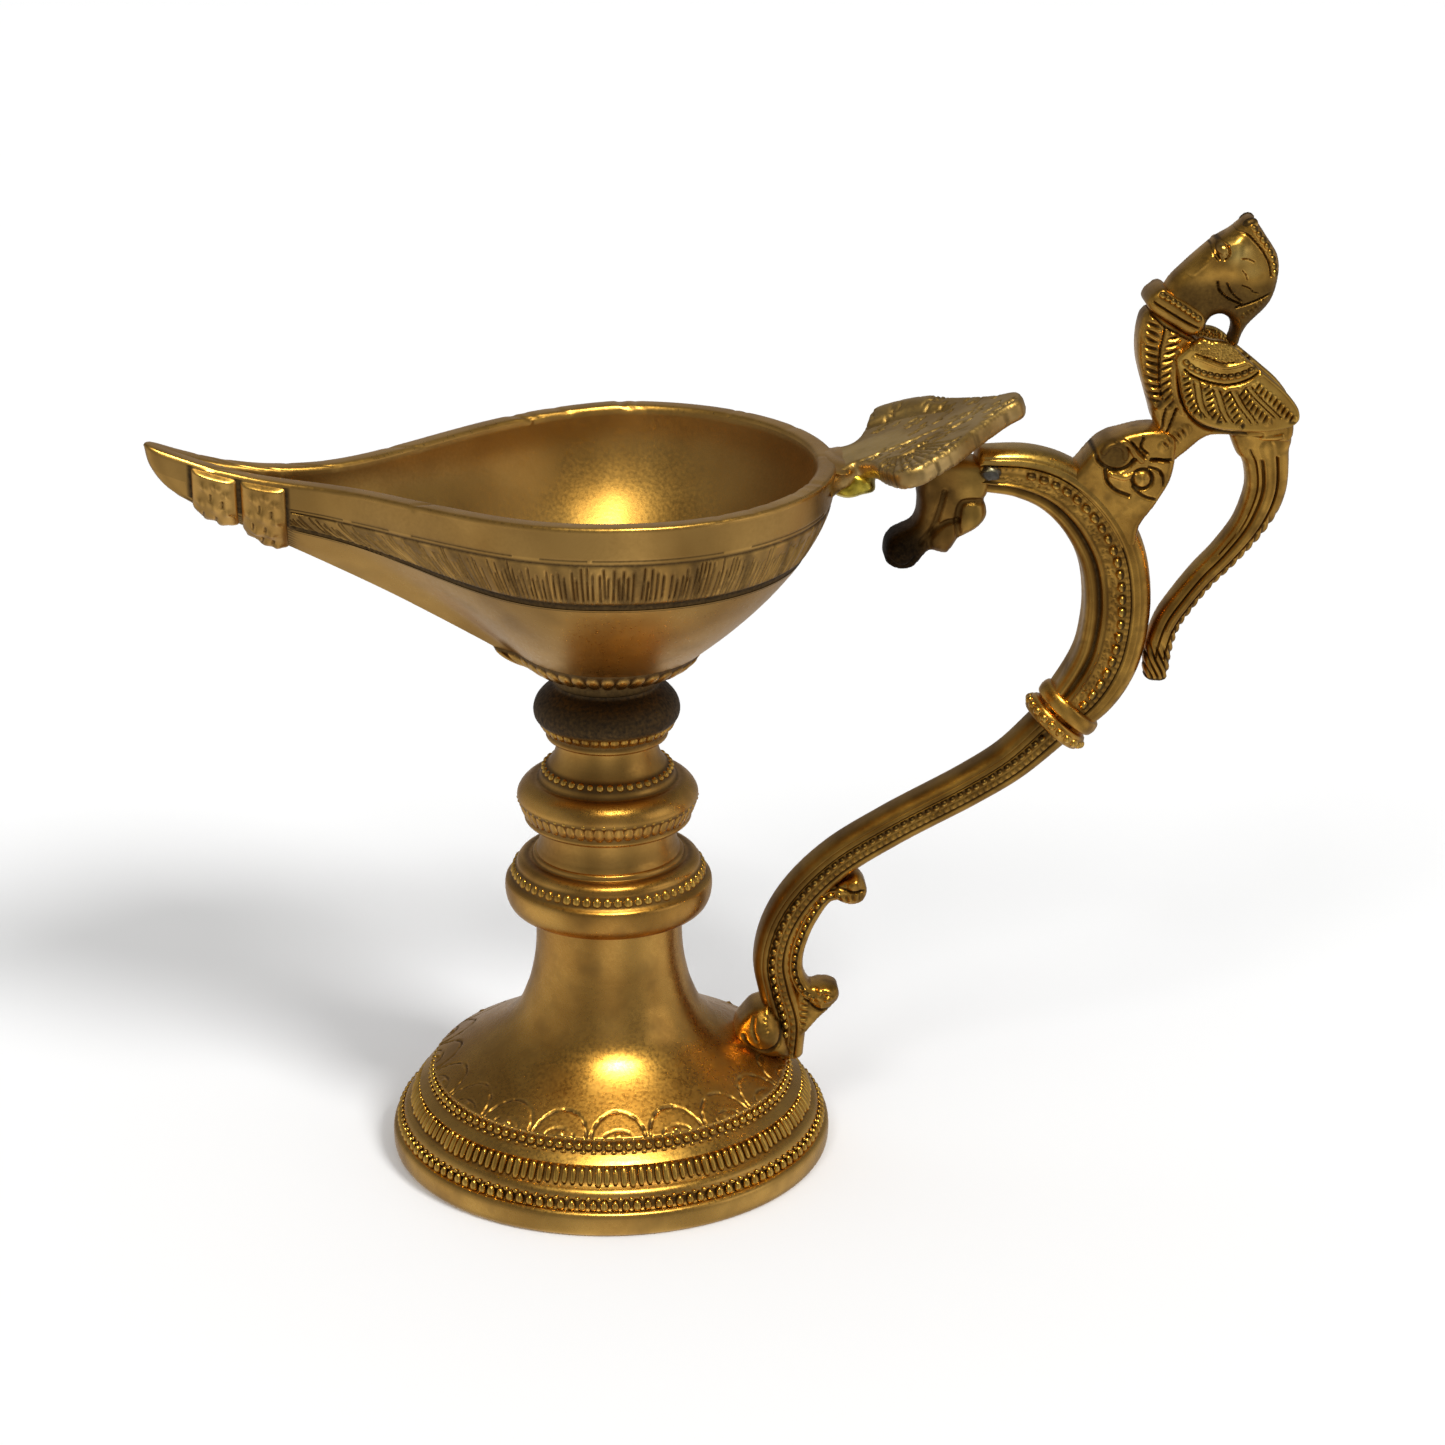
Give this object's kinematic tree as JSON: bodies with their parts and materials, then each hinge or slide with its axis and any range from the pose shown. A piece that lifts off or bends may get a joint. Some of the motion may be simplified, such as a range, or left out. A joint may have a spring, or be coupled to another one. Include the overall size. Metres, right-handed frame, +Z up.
{
  "type": "diya oil lamp",
  "caption": "Hand-held brass oil lamp: a pear-shaped oil bowl with a drawn-out spout on a turned stem and a flared hollow foot, and an arched scroll handle topped by a bird.",
  "frame": {"origin": "on the ground, under the middle of the whole lamp's length and width", "axes": "+X from the spout towards the handle, +Y to the far side as the lamp is seen in the picture, +Z up"},
  "size_m": [0.1612, 0.0644, 0.1377],
  "materials": {
    "old_brass": "cast and turned brass, satin, with darker brown tarnish in the hollows",
    "braze": "bright yellow braze, slightly rough",
    "solder": "dull grey solder",
    "steel": "plain steel, lightly oxidised"
  },
  "bodies": {
    "root": {"foot_bell": "old_brass", "stem_lower_knop": "old_brass", "stem_middle_knop": "old_brass", "stem_upper_knop": "old_brass", "bowl": "old_brass", "leaf_plate": "old_brass", "handle_arch": "old_brass", "arch_end_leaf": "old_brass", "collar_upper_ring": "old_brass", "collar_lower_ring": "old_brass", "handle_bar": "old_brass", "bar_scroll": "old_brass", "handle_bract": "old_brass", "bract_rivet": "old_brass", "perch_scroll": "old_brass", "bird_torso": "old_brass", "bird_neck_band": "old_brass", "bird_head": "old_brass", "bird_wing_near": "old_brass", "bird_wing_far": "old_brass", "bird_tail": "old_brass", "leaf_braze": "braze", "plate_solder": "solder", "tie_rod": "steel", "tie_washer": "steel", "tie_nut": "steel"}
  },
  "joints": []
}
